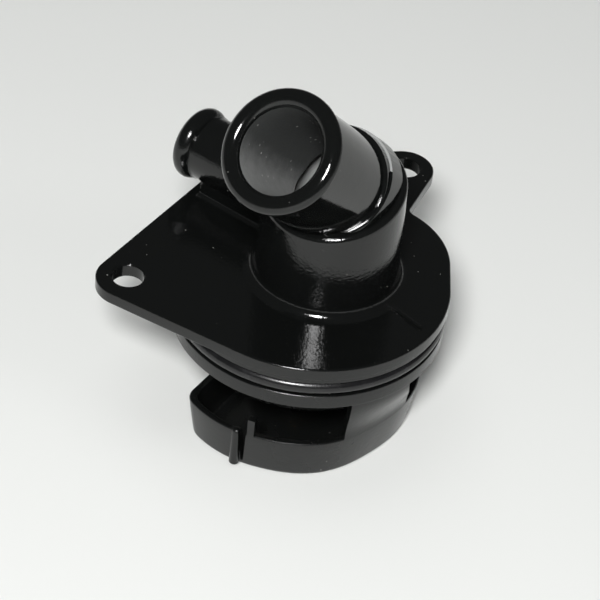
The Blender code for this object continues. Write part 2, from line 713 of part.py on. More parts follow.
def build_rim_seal(material):
    groove = FLANGE_RADIUS + TOUCH_GAP
    profile = [(SEAL_INNER, SEAL_BOTTOM), (SEAL_OUTER - 0.5, SEAL_BOTTOM), (SEAL_OUTER, SEAL_BOTTOM + 0.5),
               (SEAL_OUTER, SEAL_TOP - 0.5), (SEAL_OUTER - 0.5, SEAL_TOP), (SEAL_INNER, SEAL_TOP),
               (SEAL_INNER, FLANGE_TOP + TOUCH_GAP), (groove, FLANGE_TOP + TOUCH_GAP),
               (groove, FLANGE_BOTTOM - TOUCH_GAP), (SEAL_INNER, FLANGE_BOTTOM - TOUCH_GAP)]
    made = ring("rim_seal", profile, 64)
    return complete(made, "rim_seal", material, at(0, 0, SEAL_BOTTOM))


def polar(radius, angle):
    return radius * math.cos(math.radians(angle)), radius * math.sin(math.radians(angle))


def build_flange(material):
    profile = [(SEAT_HOLE, FLANGE_BOTTOM), (FLANGE_RADIUS - 0.2, FLANGE_BOTTOM),
               (FLANGE_RADIUS, FLANGE_BOTTOM + 0.2), (FLANGE_RADIUS, FLANGE_TOP - 0.2),
               (FLANGE_RADIUS - 0.2, FLANGE_TOP), (SEAT_HOLE + SEAT_RIM, FLANGE_TOP),
               (SEAT_HOLE + SEAT_RIM - 0.5, FLANGE_TOP + 0.7), (SEAT_HOLE, FLANGE_TOP + 0.7)]
    made = ring("flange", profile, 64)
    x, y = polar(VENT_RADIUS, VENT_ANGLE)
    cut(made, cylinder("vent", x, y, VENT_HOLE, FLANGE_BOTTOM - 1, FLANGE_TOP + 1, 20))
    return complete(made, "valve_flange", material, at(0, 0, FLANGE_BOTTOM))


def strap(name, path, width, sheet, angle):
    """Bent strip of sheet metal: a path of (reach, height) pairs, thickened to one side, turned about Z."""
    offset = []
    for k, (x, z) in enumerate(path):
        before = path[max(0, k - 1)]
        after = path[min(len(path) - 1, k + 1)]
        into = Vector((x - before[0], z - before[1]))
        away = Vector((after[0] - x, after[1] - z))
        if into.length == 0:
            into = away
        if away.length == 0:
            away = into
        bisect = (into.normalized() + away.normalized()).normalized()
        scale = sheet / max(0.5, bisect.dot(into.normalized()))
        offset.append((x - bisect.y * scale, z + bisect.x * scale))
    outline = path + offset[::-1]
    rings = [[(x, y, z) for x, z in outline] for y in (-width / 2, width / 2)]
    made = stack(name, rings)
    turn(made, Matrix.Rotation(math.radians(angle), 4, "Z"))
    return made


def build_bridge(material):
    """Arch over the seat that the piston pushes against."""
    foot = FLANGE_TOP + TOUCH_GAP
    crown = BRIDGE_TOP - BRIDGE_SHEET
    boss_radius = PIN_RADIUS + 2.3
    left = [(3.0 - FLANGE_RADIUS, foot), (-SEAT_HOLE - 3.6, foot), (-SEAT_HOLE - 2.9, foot + 0.5),
            (-SEAT_HOLE - 0.2, (foot + crown) / 2), (3.5 - SEAT_HOLE, crown - 0.6), (6.5 - SEAT_HOLE, crown)]
    path = left + [(-x, z) for x, z in reversed(left)]
    made = strap("bridge", path, BRIDGE_WIDTH, BRIDGE_SHEET, BRIDGE_ANGLE)
    boss = lathe("boss", [(boss_radius - 0.4, BRIDGE_TOP - 2.6), (boss_radius, BRIDGE_TOP - 2.2),
                          (boss_radius, BRIDGE_TOP - 0.3), (boss_radius - 0.4, BRIDGE_TOP + 0.1)], 32)
    join(made, boss)
    cut(made, cylinder("socket", 0, 0, PIN_RADIUS + TOUCH_GAP, BRIDGE_TOP - 4.0, BRIDGE_TOP - 0.7, 24))
    return complete(made, "upper_bridge", material, at(0, 0, foot))


def build_piston(material):
    high = BRIDGE_TOP - 1.0
    low = WELL_BOTTOM + TOUCH_GAP
    profile = [(PIN_RADIUS - 0.5, low), (PIN_RADIUS, low + 0.7), (PIN_RADIUS, high - 0.4),
               (PIN_RADIUS - 0.4, high)]
    made = lathe("piston", profile, 24)
    return complete(made, "piston_pin", material, at(0, 0, high))


def build_lower_frame(material):
    """Stirrup under the flange that carries the main spring and guides the capsule."""
    top = FLANGE_BOTTOM - TOUCH_GAP
    left = [(3.4 - FLANGE_RADIUS, top - 0.8), (-FRAME_LEG - 1.2, top - 0.8), (-FRAME_LEG - 0.6, top - 1.3),
            (-FRAME_LEG + 0.4, FRAME_BASE + 1.6), (-FRAME_LEG + 1.4, FRAME_BASE + 0.4),
            (-FRAME_LEG + 2.4, FRAME_BASE)]
    path = left + [(-x, z) for x, z in reversed(left)]
    made = strap("frame", path, FRAME_WIDTH, FRAME_SHEET, FRAME_ANGLE)
    join(made, cylinder("dish", 0, 0, SPRING_LOW_RADIUS + 1.2, FRAME_BASE, FRAME_BASE + FRAME_SHEET, 56))
    cut(made, cylinder("guide", 0, 0, CAPSULE_RADIUS + TOUCH_GAP, FRAME_BASE - 2, FRAME_BASE + 4, 40))
    return complete(made, "lower_frame", material, at(0, 0, FRAME_BASE))


def coil(name, turns, low, high, wide_low, wide_high, wire, count):
    """Round wire wound up a cone, with one flat turn at each end."""
    rings = []
    total = int(turns * count)
    for k in range(total + 1):
        share = k / total
        angle = 2 * math.pi * turns * share
        flat = 0.75 / turns
        climb = min(1.0, max(0.0, (share - flat) / (1 - 2 * flat)))
        radius = wide_low + (wide_high - wide_low) * share
        z = low + wire + (high - low - 2 * wire) * climb
        out = Vector((math.cos(angle), math.sin(angle), 0.0))
        line = []
        for m in range(8):
            around = 2 * math.pi * m / 8
            level = z + wire * math.sin(around)
            line.append(tuple(out * (radius + wire * math.cos(around)) + Vector((0, 0, level))))
        rings.append(line)
    return stack(name, rings)


def build_main_spring(material):
    made = coil("spring", 4.25, SPRING_BOTTOM, SPRING_TOP, SPRING_LOW_RADIUS, SPRING_HIGH_RADIUS,
                SPRING_WIRE, 20)
    return complete(made, "main_spring", material, at(0, 0, SPRING_BOTTOM), 60.0)


def build_main_valve(material):
    profile = [(CAPSULE_NECK + TOUCH_GAP, DISC_TOP), (CAPSULE_NECK + TOUCH_GAP, DISC_BOTTOM),
               (DISC_RADIUS - 1.2, DISC_BOTTOM), (DISC_RADIUS - 0.3, DISC_BOTTOM + 0.3),
               (DISC_RADIUS, DISC_BOTTOM + 0.8), (DISC_RADIUS - 0.2, DISC_TOP - 0.15),
               (DISC_RADIUS - 0.6, DISC_TOP)]
    made = ring("disc", profile, 56)
    return complete(made, "main_valve_disc", material, at(0, 0, DISC_BOTTOM))


def build_capsule(material):
    rim = CAPSULE_RADIUS + CAPSULE_RIM
    rim_bottom = DISC_BOTTOM - CAPSULE_RIM
    profile = [(STEM_RADIUS - 0.3, STEM_BOTTOM), (STEM_RADIUS, STEM_BOTTOM + 0.3),
               (STEM_RADIUS, CAPSULE_BOTTOM),
               (CAPSULE_RADIUS - 0.6, CAPSULE_BOTTOM), (CAPSULE_RADIUS, CAPSULE_BOTTOM + 0.6),
               (CAPSULE_RADIUS, rim_bottom), (rim, rim_bottom), (rim, DISC_BOTTOM - TOUCH_GAP),
               (CAPSULE_NECK, DISC_BOTTOM - TOUCH_GAP), (CAPSULE_NECK, DISC_TOP - 0.1)]
    made = lathe("capsule", profile, 36)
    cut(made, cylinder("well", 0, 0, PIN_RADIUS + TOUCH_GAP, WELL_BOTTOM, DISC_TOP + 2.0, 24))
    return complete(made, "wax_capsule", material, at(0, 0, DISC_BOTTOM))


def build_guide(material):
    low = DISC_TOP + 0.2 + RETAINER_SHEET + TOUCH_GAP
    high = low + GUIDE_HEIGHT
    hole = PIN_RADIUS + TOUCH_GAP
    profile = [(hole, low), (hole + 2.4, low), (hole + 2.4, low + 1.0), (hole + 1.2, low + 1.8),
               (hole + 0.9, high), (hole, high)]
    made = ring("guide", profile, 32)
    return complete(made, "piston_guide", material, at(0, 0, low))


def build_retainer(material):
    low = DISC_TOP + 0.2
    inner = CAPSULE_NECK - 0.2
    outer = CAPSULE_NECK + RETAINER_WIDTH
    high = low + RETAINER_SHEET
    profile = [(inner, low), (outer, low), (outer, high), (inner, high)]
    made = ring("retainer", profile, 40)
    return complete(made, "valve_retainer", material, at(0, 0, low))


def build_bypass_disc(material):
    profile = [(STEM_RADIUS + TOUCH_GAP, BYPASS_BOTTOM), (BYPASS_RADIUS - 0.3, BYPASS_BOTTOM),
               (BYPASS_RADIUS, BYPASS_BOTTOM + 0.3), (BYPASS_RADIUS, BYPASS_TOP),
               (STEM_RADIUS + TOUCH_GAP, BYPASS_TOP)]
    made = ring("bypass", profile, 40)
    return complete(made, "bypass_disc", material, at(0, 0, BYPASS_BOTTOM))


def build_bypass_spring(material):
    low = BYPASS_TOP + 0.2
    made = coil("bypass_coil", 2.6, low, CAPSULE_BOTTOM - 0.2, BYPASS_RADIUS - 1.6, STEM_RADIUS + 1.4,
                BYPASS_WIRE, 18)
    return complete(made, "bypass_spring", material, at(0, 0, low), 60.0)


def build_clip(material):
    inner = STEM_RADIUS + 0.15
    high = CLIP_BOTTOM + CLIP_SHEET
    profile = [(inner, CLIP_BOTTOM), (CLIP_RADIUS, CLIP_BOTTOM), (CLIP_RADIUS, high), (inner, high)]
    made = ring("clip", profile, 28)
    return complete(made, "bypass_clip", material, at(0, 0, CLIP_BOTTOM))


def build_jiggle_pin(material):
    """Loose pin in the vent hole: a cap above, a ball below."""
    x, y = polar(VENT_RADIUS, VENT_ANGLE)
    top = FLANGE_TOP + TOUCH_GAP
    shank = VENT_HOLE / 2
    cap = VENT_HOLE + 0.7
    ball = ((-0.3, 4.9), (0.4, 4.6), (0.9, 3.9), (1.0, 3.2), (0.8, 2.4), (0.1, 1.8), (0.0, 1.5))
    profile = [(shank + swell, FLANGE_BOTTOM - drop) for swell, drop in ball]
    profile += [(shank, top), (cap, top), (cap, top + 0.6), (cap - 0.5, top + 0.9)]
    made = lathe("jiggle", profile, 16, x, y)
    return complete(made, "jiggle_pin", material, at(x, y, top))


def centre_frame():
    """Moves the whole part so that the frame's origin is the middle of its base."""
    bpy.context.view_layer.update()
    corners = [item.matrix_world @ point.co for item in bpy.data.objects for point in item.data.vertices]
    low = [min(point[k] for point in corners) for k in range(3)]
    high = [max(point[k] for point in corners) for k in range(3)]
    shift = Vector((-(low[0] + high[0]) / 2, -(low[1] + high[1]) / 2, -low[2]))
    for item in bpy.data.objects:
        item.location += shift


def build_all():
    clear_scene()
    housing = finish("housing_plastic", (0.012, 0.013, 0.013), 0.0, 0.22)
    tube = finish("outlet_plastic", (0.012, 0.013, 0.013), 0.0, 0.2)
    body = finish("body_plastic", (0.013, 0.014, 0.014), 0.0, 0.25)
    ring_rubber = finish("o_ring_rubber", (0.015, 0.015, 0.016), 0.0, 0.35)
    seal_rubber = finish("seal_rubber", (0.02, 0.02, 0.021), 0.0, 0.6)
    flange = finish("flange_steel", (0.62, 0.61, 0.58), 1.0, 0.35)
    bridge = finish("bridge_steel", (0.6, 0.59, 0.56), 1.0, 0.38)
    frame = finish("frame_steel", (0.58, 0.57, 0.55), 1.0, 0.4)
    spring = finish("spring_steel", (0.5, 0.5, 0.51), 1.0, 0.3)
    brass = finish("capsule_brass", (0.66, 0.47, 0.2), 1.0, 0.35)
    disc = finish("disc_steel", (0.6, 0.6, 0.6), 1.0, 0.33)
    pin = finish("pin_steel", (0.7, 0.7, 0.7), 1.0, 0.2)
    nylon = finish("guide_nylon", (0.75, 0.72, 0.62), 0.0, 0.45)
    retainer = finish("retainer_steel", (0.55, 0.55, 0.56), 1.0, 0.35)
    bypass = finish("bypass_steel", (0.6, 0.6, 0.6), 1.0, 0.36)
    bypass_wire = finish("bypass_wire", (0.5, 0.5, 0.51), 1.0, 0.3)
    clip = finish("clip_steel", (0.45, 0.45, 0.47), 1.0, 0.35)
    jiggle = finish("jiggle_brass", (0.64, 0.46, 0.22), 1.0, 0.35)
    build_cover(housing)
    build_outlet_tube(tube)
    build_o_ring(ring_rubber)
    build_lower_body(body)
    build_rim_seal(seal_rubber)
    build_flange(flange)
    build_bridge(bridge)
    build_piston(pin)
    build_lower_frame(frame)
    build_main_spring(spring)
    build_main_valve(disc)
    build_capsule(brass)
    build_guide(nylon)
    build_retainer(retainer)
    build_bypass_disc(bypass)
    build_bypass_spring(bypass_wire)
    build_clip(clip)
    build_jiggle_pin(jiggle)
    centre_frame()


build_all()
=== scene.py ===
import math

import bmesh
import bpy
from mathutils import Matrix, Vector


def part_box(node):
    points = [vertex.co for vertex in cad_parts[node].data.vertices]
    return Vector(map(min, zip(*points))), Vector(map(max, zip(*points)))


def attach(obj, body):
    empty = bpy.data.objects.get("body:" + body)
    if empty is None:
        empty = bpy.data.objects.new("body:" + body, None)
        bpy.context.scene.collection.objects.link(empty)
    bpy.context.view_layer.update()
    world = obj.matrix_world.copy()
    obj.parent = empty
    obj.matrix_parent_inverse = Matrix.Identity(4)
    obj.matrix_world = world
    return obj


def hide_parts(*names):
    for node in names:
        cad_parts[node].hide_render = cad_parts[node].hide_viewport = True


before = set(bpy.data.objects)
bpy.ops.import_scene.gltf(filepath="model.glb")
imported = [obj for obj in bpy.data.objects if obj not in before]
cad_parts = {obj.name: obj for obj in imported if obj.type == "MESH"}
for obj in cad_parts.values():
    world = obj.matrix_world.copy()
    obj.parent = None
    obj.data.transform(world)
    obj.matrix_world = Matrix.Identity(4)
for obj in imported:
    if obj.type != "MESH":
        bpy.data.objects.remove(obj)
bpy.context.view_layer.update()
print("frame loaded")

# Lengths are in millimetres about the lower body's axis, as in the part's source.
# toWorld() shifts them and turns them into metres.
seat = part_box("main_valve_disc")
shift = Vector(((seat[0][0] + seat[1][0]) * 500, (seat[0][1] + seat[1][1]) * 500, 0))
rounds = 160
plateTop = 38.2
knee = Vector((3.4, 3.0, 65.4))


def toWorld(point):
    return (Vector(point) + shift) * 0.001


def make(name, points, faces):
    mesh = bpy.data.meshes.new(name)
    mesh.from_pydata([toWorld(p) for p in points], [], faces)
    shape = bmesh.new()
    shape.from_mesh(mesh)
    bmesh.ops.triangulate(shape, faces=shape.faces)
    bmesh.ops.recalc_face_normals(shape, faces=shape.faces)
    shape.to_mesh(mesh)
    shape.free()
    made = bpy.data.objects.new(name, mesh)
    bpy.context.scene.collection.objects.link(made)
    return made


def stack(name, rings):
    count = len(rings[0])
    points = [p for ring in rings for p in ring]
    faces = [tuple(reversed(range(count)))]
    for level in range(len(rings) - 1):
        low = level * count
        for i in range(count):
            j = (i + 1) % count
            faces.append((low + i, low + j, low + count + j, low + count + i))
    faces.append(tuple(range(len(points) - count, len(points))))
    return make(name, points, faces)


def loop(name, rings):
    count = len(rings[0])
    points = [p for ring in rings for p in ring]
    faces = []
    for level in range(len(rings)):
        low = level * count
        high = (level + 1) % len(rings) * count
        for i in range(count):
            j = (i + 1) % count
            faces.append((low + i, low + j, high + j, high + i))
    return make(name, points, faces)


def circle(centre, radius, z, count=rounds):
    turn = 2 * math.pi / count
    return [Vector((centre[0] + radius * math.cos(k * turn), centre[1] + radius * math.sin(k * turn), z))
            for k in range(count)]


def lathe(name, profile, centre=(0, 0), pose=None, count=rounds):
    rings = [circle(centre, radius, z, count) for radius, z in profile]
    if pose:
        rings = [[pose @ p for p in ring] for ring in rings]
    return stack(name, rings)


def ringOf(name, profile, count=rounds):
    return loop(name, [circle((0, 0), radius, z, count) for radius, z in profile])


def combine(item, other, operation):
    step = item.modifiers.new("combine", "BOOLEAN")
    step.operation = operation
    step.solver = "EXACT"
    step.object = other
    bpy.context.view_layer.update()
    graph = bpy.context.evaluated_depsgraph_get()
    item.data = bpy.data.meshes.new_from_object(item.evaluated_get(graph))
    item.modifiers.clear()
    bpy.data.objects.remove(other, do_unlink=True)
    shape = bmesh.new()
    shape.from_mesh(item.data)
    bmesh.ops.remove_doubles(shape, verts=shape.verts, dist=0.0000002)
    bmesh.ops.dissolve_degenerate(shape, edges=shape.edges, dist=0.0000002)
    shape.to_mesh(item.data)
    shape.free()


def join(item, *others):
    for other in others:
        combine(item, other, "UNION")


def cut(item, *others):
    for other in others:
        combine(item, other, "DIFFERENCE")


def shade(item, sharp=34.0):
    for face in item.data.polygons:
        face.use_smooth = True
    item.data.set_sharp_from_angle(angle=math.radians(sharp))
    normals = item.modifiers.new("normals", "WEIGHTED_NORMAL")
    normals.keep_sharp = True
    normals.mode = "FACE_AREA_WITH_ANGLE"


def polar(radius, angle):
    return Vector((radius * math.cos(math.radians(angle)), radius * math.sin(math.radians(angle))))


def arc(x, y, radius, start, end, count):
    return [Vector((x, y)) + polar(radius, start + (end - start) * k / (count - 1)) for k in range(count)]


def inset(outline, depth):
    out = []
    for k, point in enumerate(outline):
        run = (outline[(k + 1) % len(outline)] - outline[k - 1]).normalized()
        out.append(point + Vector((-run.y, run.x)) * depth)
    return out


def lift(outline, z):
    return [Vector((p.x, p.y, z)) for p in outline]


def quarter(count):
    return [math.radians(90 * k / (count - 1)) for k in range(count)]


def blendTable(value, keys, values):
    if value <= keys[0]:
        return values[0]
    for k in range(len(keys) - 1):
        if value <= keys[k + 1]:
            share = (value - keys[k]) / (keys[k + 1] - keys[k])
            return values[k] + (values[k + 1] - values[k]) * share
    return values[-1]


def poseAlong(base, azimuth, elevation):
    return (Matrix.Translation(base) @ Matrix.Rotation(math.radians(azimuth), 4, "Z")
            @ Matrix.Rotation(math.radians(90 - elevation), 4, "Y"))


# Node helpers

def link(tree, source, target):
    tree.links.new(source, target)


def node(tree, kind, **values):
    made = tree.nodes.new(kind)
    for key, value in values.items():
        setattr(made, key, value)
    return made


def mathNode(tree, operation, first, second):
    made = node(tree, "ShaderNodeMath", operation=operation)
    for k, value in enumerate((first, second)):
        if isinstance(value, (int, float)):
            made.inputs[k].default_value = value
        else:
            link(tree, value, made.inputs[k])
    return made.outputs[0]


def ramp(tree, source, low, high):
    made = node(tree, "ShaderNodeMapRange")
    made.interpolation_type = "SMOOTHSTEP"
    link(tree, source, made.inputs["Value"])
    made.inputs["From Min"].default_value = low
    made.inputs["From Max"].default_value = high
    return made.outputs["Result"]


def noiseNode(tree, vector, scale, detail=3.0, rough=0.5):
    made = node(tree, "ShaderNodeTexNoise")
    link(tree, vector, made.inputs["Vector"])
    made.inputs["Scale"].default_value = scale
    made.inputs["Detail"].default_value = detail
    made.inputs["Roughness"].default_value = rough
    return made.outputs["Fac"]


def newGroup(name, inputs, outputs):
    tree = bpy.data.node_groups.new(name, "ShaderNodeTree")
    for label, kind, value in inputs:
        socket = tree.interface.new_socket(label, in_out="INPUT", socket_type=kind)
        socket.default_value = value
    for label, kind in outputs:
        tree.interface.new_socket(label, in_out="OUTPUT", socket_type=kind)
    return tree, node(tree, "NodeGroupInput"), node(tree, "NodeGroupOutput")


# Moulded plastic: faint waves, fine grain, dust specks and a little haze from handling.
def mouldedGroup():
    tree, given, result = newGroup(
        "mouldedSurface",
        [("Grain", "NodeSocketFloat", 0.5), ("Waves", "NodeSocketFloat", 0.5),
         ("Dust", "NodeSocketFloat", 0.5)],
        [("Dust", "NodeSocketFloat"), ("Haze", "NodeSocketFloat"), ("Height", "NodeSocketFloat")])
    place = node(tree, "ShaderNodeTexCoord").outputs["Object"]
    waves = noiseNode(tree, place, 90.0, 2.0, 0.45)
    grain = noiseNode(tree, place, 1250.0, 2.0, 0.6)
    smears = noiseNode(tree, place, 60.0, 6.0, 0.62)
    specks = node(tree, "ShaderNodeTexVoronoi", feature="F1")
    link(tree, place, specks.inputs["Vector"])
    specks.inputs["Scale"].default_value = 520.0
    patches = ramp(tree, noiseNode(tree, place, 130.0, 4.0, 0.6), 0.50, 0.68)
    size = mapTo(tree, noiseNode(tree, place, 900.0, 1.0, 0.5), 0.02, 0.16)
    dot = mathNode(tree, "LESS_THAN", specks.outputs["Distance"], size)
    pick = mathNode(tree, "GREATER_THAN", specks.outputs["Color"], 0.66)
    dust = mathNode(tree, "MULTIPLY", mathNode(tree, "MULTIPLY", dot, pick), patches)
    dust = mathNode(tree, "MULTIPLY", dust, given.outputs["Dust"])
    link(tree, dust, result.inputs["Dust"])
    link(tree, ramp(tree, smears, 0.45, 0.75), result.inputs["Haze"])
    height = mathNode(tree, "MULTIPLY", waves, given.outputs["Waves"])
    fine = mathNode(tree, "MULTIPLY", grain, mathNode(tree, "MULTIPLY", given.outputs["Grain"], 0.3))
    height = mathNode(tree, "ADD", height, fine)
    height = mathNode(tree, "ADD", height, mathNode(tree, "MULTIPLY", dust, 0.08))
    link(tree, height, result.inputs["Height"])
    return tree


def startMaterial(name):
    made = bpy.data.materials.new(name)
    made.use_nodes = True
    return made, made.node_tree, made.node_tree.nodes["Principled BSDF"]


def mixColour(tree, mask, first, second):
    made = node(tree, "ShaderNodeMix", data_type="RGBA")
    link(tree, mask, made.inputs["Factor"])
    made.inputs["A"].default_value = (*first, 1.0)
    made.inputs["B"].default_value = (*second, 1.0)
    return made.outputs["Result"]


def mapTo(tree, source, low, high):
    made = node(tree, "ShaderNodeMapRange")
    link(tree, source, made.inputs["Value"])
    made.inputs["To Min"].default_value = low
    made.inputs["To Max"].default_value = high
    return made.outputs["Result"]


moulded = mouldedGroup()


def plasticMaterial(name, settings):
    made, tree, shader = startMaterial(name)
    group = node(tree, "ShaderNodeGroup", node_tree=moulded)
    group.inputs["Grain"].default_value = settings["grain"]
    group.inputs["Waves"].default_value = settings["waves"]
    group.inputs["Dust"].default_value = settings["dust"]
    colour = mixColour(tree, group.outputs["Dust"], settings["colour"], (0.32, 0.32, 0.30))
    link(tree, colour, shader.inputs["Base Color"])
    link(tree, mapTo(tree, group.outputs["Haze"], settings["roughLow"], settings["roughHigh"]),
         shader.inputs["Roughness"])
    shader.inputs["Specular IOR Level"].default_value = settings["specular"]
    edge = node(tree, "ShaderNodeBevel", samples=4)
    edge.inputs["Radius"].default_value = settings["edge"]
    bump = node(tree, "ShaderNodeBump")
    bump.inputs["Strength"].default_value = 1.0
    bump.inputs["Distance"].default_value = settings["bump"]
    link(tree, group.outputs["Height"], bump.inputs["Height"])
    link(tree, edge.outputs["Normal"], bump.inputs["Normal"])
    link(tree, bump.outputs["Normal"], shader.inputs["Normal"])
    return made


coverSettings = {"colour": (0.0040, 0.0044, 0.0042), "grain": 0.9, "waves": 0.5, "dust": 1.0,
                 "roughLow": 0.09, "roughHigh": 0.22, "specular": 0.5, "edge": 0.0003, "bump": 0.00016}
coverPlastic = plasticMaterial("coverPlastic", coverSettings)
tubePlastic = plasticMaterial("tubePlastic", {**coverSettings, "grain": 0.3, "dust": 0.5, "roughLow": 0.07,
                                              "roughHigh": 0.16})
bodyPlastic = plasticMaterial("bodyPlastic", {**coverSettings, "colour": (0.0044, 0.0048, 0.0046),
                                              "roughLow": 0.2, "roughHigh": 0.36})


# Rough grey skin inside the hose outlet and the neck: faces turned upward are painted paler as painted light,
# and crumbs of flash
def boreMaterial(name, settings):
    made, tree, shader = startMaterial(name)
    place = node(tree, "ShaderNodeTexCoord").outputs["Object"]
    split = node(tree, "ShaderNodeSeparateXYZ")
    link(tree, node(tree, "ShaderNodeNewGeometry").outputs["Normal"], split.inputs[0])
    patches = noiseNode(tree, place, 420.0, 4.0, 0.6)
    pits = noiseNode(tree, place, 2300.0, 3.0, 0.65)
    crumbs = node(tree, "ShaderNodeTexVoronoi", feature="F1")
    link(tree, place, crumbs.inputs["Vector"])
    crumbs.inputs["Scale"].default_value = 900.0
    near = mathNode(tree, "LESS_THAN", crumbs.outputs["Distance"], mapTo(tree, pits, 0.05, 0.4))
    near = mathNode(tree, "MULTIPLY", near, mathNode(tree, "GREATER_THAN", crumbs.outputs["Color"], 0.6))
    near = mathNode(tree, "MULTIPLY", near, ramp(tree, noiseNode(tree, place, 150.0, 3.0, 0.6), 0.50, 0.62))
    # Painted light: the mix below makes faces that turn upward paler, as if lit from above
    upward = mathNode(tree, "ADD", split.outputs["Z"], mathNode(tree, "MULTIPLY", patches, 0.3))
    paintedLitSide = ramp(tree, upward, 0.12, 1.0)
    skin = mixColour(tree, paintedLitSide, settings["bare"], settings["paintedLitSide"])
    blend = node(tree, "ShaderNodeMix", data_type="RGBA")
    link(tree, near, blend.inputs["Factor"])
    link(tree, skin, blend.inputs["A"])
    blend.inputs["B"].default_value = (*settings["crumb"], 1.0)
    link(tree, blend.outputs["Result"], shader.inputs["Base Color"])
    link(tree, mapTo(tree, pits, 0.42, 0.7), shader.inputs["Roughness"])
    shader.inputs["Specular IOR Level"].default_value = 0.35
    bump = node(tree, "ShaderNodeBump")
    bump.inputs["Distance"].default_value = settings["bump"]
    swell = mathNode(tree, "MULTIPLY", patches, 0.3)
    link(tree, mathNode(tree, "ADD", swell, mathNode(tree, "MULTIPLY", pits, 0.5)),
         bump.inputs["Height"])
    link(tree, bump.outputs["Normal"], shader.inputs["Normal"])
    return made


# The second colour is painted light on the bores' upward-facing side
boreSettings = {"bare": (0.050, 0.052, 0.051), "paintedLitSide": (0.30, 0.305, 0.30), "crumb": (0.5, 0.5, 0.48),
                "bump": 0.00022}
boreSkin = boreMaterial("boreSkin", boreSettings)
# Paler copy of the bore skin for the neck's bore: painted light where the lamp shines into the neck
paintedLitNeckSkin = boreMaterial("paintedLitNeckSkin", {**boreSettings, "bare": (0.44, 0.45, 0.44)})


def rubberMaterial(name, colour, roughLow, roughHigh, bumpDepth):
    made, tree, shader = startMaterial(name)
    place = node(tree, "ShaderNodeTexCoord").outputs["Object"]
    bloom = noiseNode(tree, place, 140.0, 5.0, 0.6)
    grain = noiseNode(tree, place, 1800.0, 2.0, 0.5)
    dusty = tuple(c * 2.4 + 0.004 for c in colour)
    link(tree, mixColour(tree, ramp(tree, bloom, 0.5, 0.8), colour, dusty), shader.inputs["Base Color"])
    link(tree, mapTo(tree, bloom, roughLow, roughHigh), shader.inputs["Roughness"])
    bump = node(tree, "ShaderNodeBump")
    bump.inputs["Distance"].default_value = bumpDepth
    link(tree, mathNode(tree, "ADD", mathNode(tree, "MULTIPLY", grain, 0.3), bloom), bump.inputs["Height"])
    link(tree, bump.outputs["Normal"], shader.inputs["Normal"])
    return made


ringRubber = rubberMaterial("ringRubber", (0.006, 0.006, 0.0065), 0.16, 0.34, 0.00008)
sealRubber = rubberMaterial("sealRubber", (0.012, 0.012, 0.013), 0.5, 0.75, 0.00012)


# Metals of the valve: stamped steel, drawn wire, turned brass
def metalMaterial(name, settings):
    made, tree, shader = startMaterial(name)
    place = node(tree, "ShaderNodeTexCoord").outputs["Object"]
    stretch = node(tree, "ShaderNodeMapping")
    stretch.inputs["Scale"].default_value = settings["stretch"]
    link(tree, place, stretch.inputs["Vector"])
    streaks = noiseNode(tree, stretch.outputs["Vector"], settings["streaks"], 5.0, 0.6)
    tarnish = noiseNode(tree, place, 180.0, 6.0, 0.65)
    link(tree, mixColour(tree, ramp(tree, tarnish, 0.42, 0.75), settings["colour"], settings["tarnish"]),
         shader.inputs["Base Color"])
    shader.inputs["Metallic"].default_value = 1.0
    link(tree, mapTo(tree, mathNode(tree, "MULTIPLY", mathNode(tree, "ADD", streaks, tarnish), 0.5),
                     settings["roughLow"], settings["roughHigh"]), shader.inputs["Roughness"])
    bump = node(tree, "ShaderNodeBump")
    bump.inputs["Distance"].default_value = settings["bump"]
    link(tree, streaks, bump.inputs["Height"])
    link(tree, bump.outputs["Normal"], shader.inputs["Normal"])
    return made


steelSettings = {"colour": (0.56, 0.55, 0.52), "tarnish": (0.34, 0.31, 0.27), "stretch": (1.0, 1.0, 6.0),
                 "streaks": 700.0, "roughLow": 0.24, "roughHigh": 0.46, "bump": 0.00006}
stampedSteel = metalMaterial("stampedSteel", steelSettings)
frameSteel = metalMaterial("frameSteel", {**steelSettings, "colour": (0.52, 0.50, 0.46),
                                          "stretch": (1.0, 1.0, 1.0)})
discSteel = metalMaterial("discSteel", {**steelSettings, "colour": (0.60, 0.60, 0.59), "roughLow": 0.2})
wireSteel = metalMaterial("wireSteel", {**steelSettings, "colour": (0.46, 0.46, 0.47), "streaks": 1600.0,
                                        "roughLow": 0.18, "roughHigh": 0.34})
groundSteel = metalMaterial("groundSteel", {**steelSettings, "colour": (0.68, 0.68, 0.68),
                                            "tarnish": (0.5, 0.49, 0.47), "roughLow": 0.1, "roughHigh": 0.22})
clipSteel = metalMaterial("clipSteel", {**steelSettings, "colour": (0.40, 0.40, 0.42),
                                        "tarnish": (0.2, 0.19, 0.18)})
turnedBrass = metalMaterial("turnedBrass", {**steelSettings, "colour": (0.62, 0.43, 0.17),
                                            "tarnish": (0.36, 0.22, 0.09), "stretch": (0.4, 0.4, 9.0)})
pinBrass = metalMaterial("pinBrass", {**steelSettings, "colour": (0.60, 0.42, 0.18),
                                      "tarnish": (0.33, 0.2, 0.09)})


def nylonMaterial():
    made, tree, shader = startMaterial("guideNylon")
    place = node(tree, "ShaderNodeTexCoord").outputs["Object"]
    cloud = noiseNode(tree, place, 320.0, 4.0, 0.55)
    link(tree, mixColour(tree, ramp(tree, cloud, 0.3, 0.7), (0.66, 0.62, 0.50), (0.78, 0.75, 0.66)),
         shader.inputs["Base Color"])
    link(tree, mapTo(tree, cloud, 0.35, 0.5), shader.inputs["Roughness"])
    shader.inputs["Subsurface Weight"].default_value = 0.1
    shader.inputs["Subsurface Radius"].default_value = (0.0008, 0.0006, 0.0004)
    bump = node(tree, "ShaderNodeBump")
    bump.inputs["Distance"].default_value = 0.00004
    link(tree, cloud, bump.inputs["Height"])
    link(tree, bump.outputs["Normal"], shader.inputs["Normal"])
    return made


guideNylon = nylonMaterial()
print("materials made")


